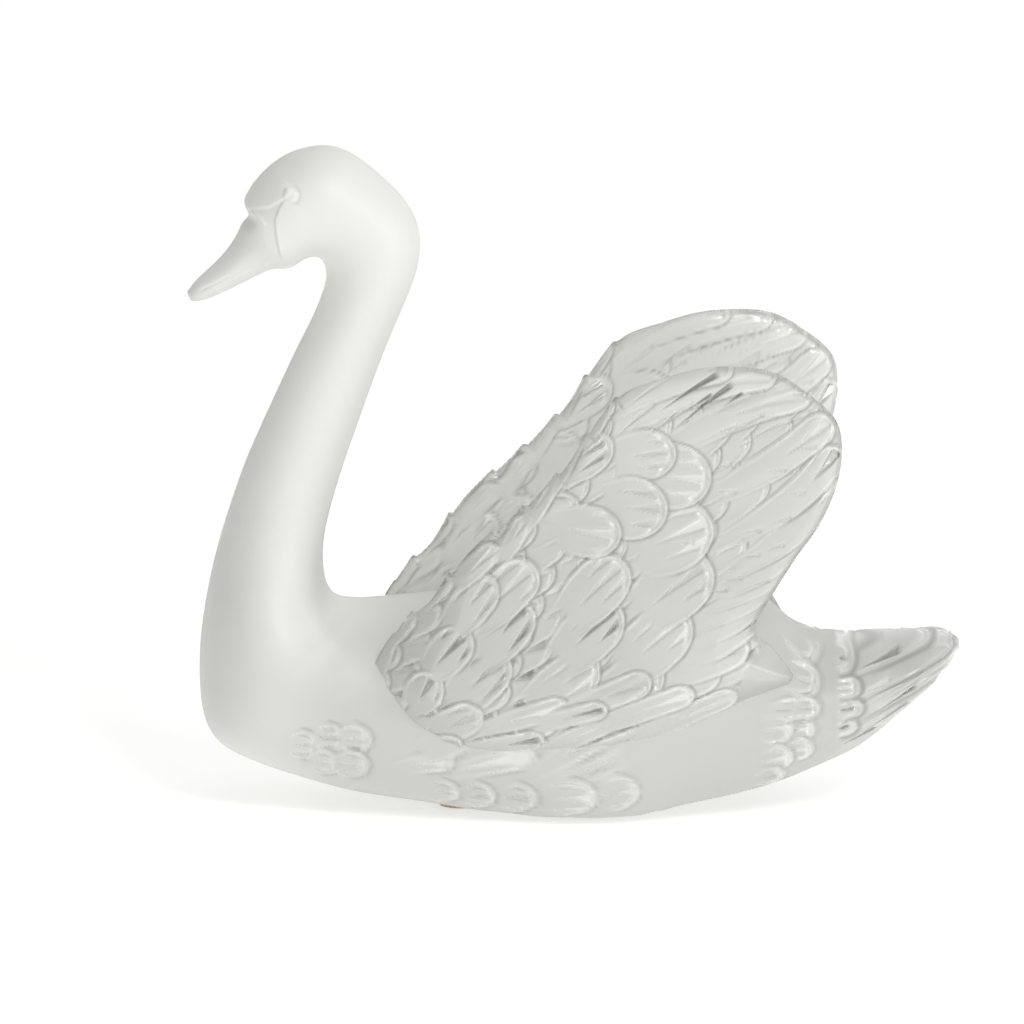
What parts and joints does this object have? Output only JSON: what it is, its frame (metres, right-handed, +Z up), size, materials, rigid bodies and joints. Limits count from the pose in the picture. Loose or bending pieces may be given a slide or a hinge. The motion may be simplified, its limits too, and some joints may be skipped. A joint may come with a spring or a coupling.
{
  "type": "swan figurine",
  "caption": "Crystal glass swan with a tall satin neck, two raised feather-cut wings and an upswept tail, standing on flat pads.",
  "frame": {"origin": "on the resting surface, under the middle of the whole swan's box", "axes": "+X towards the tail, +Y towards the swan's right side, +Z up"},
  "size_m": [0.2843, 0.1492, 0.2449],
  "materials": {
    "satin_crystal": "acid-etched satin",
    "cut_crystal": "polished and satin feather relief",
    "tan_cork": "matt pressed cork"
  },
  "bodies": {
    "root": {"body": "satin_crystal", "neck_and_head": "satin_crystal", "wing_left": "cut_crystal", "wing_right": "cut_crystal", "tail": "cut_crystal", "pad_front_left": "tan_cork", "pad_front_right": "tan_cork", "pad_rear_left": "tan_cork", "pad_rear_right": "tan_cork"}
  },
  "joints": []
}
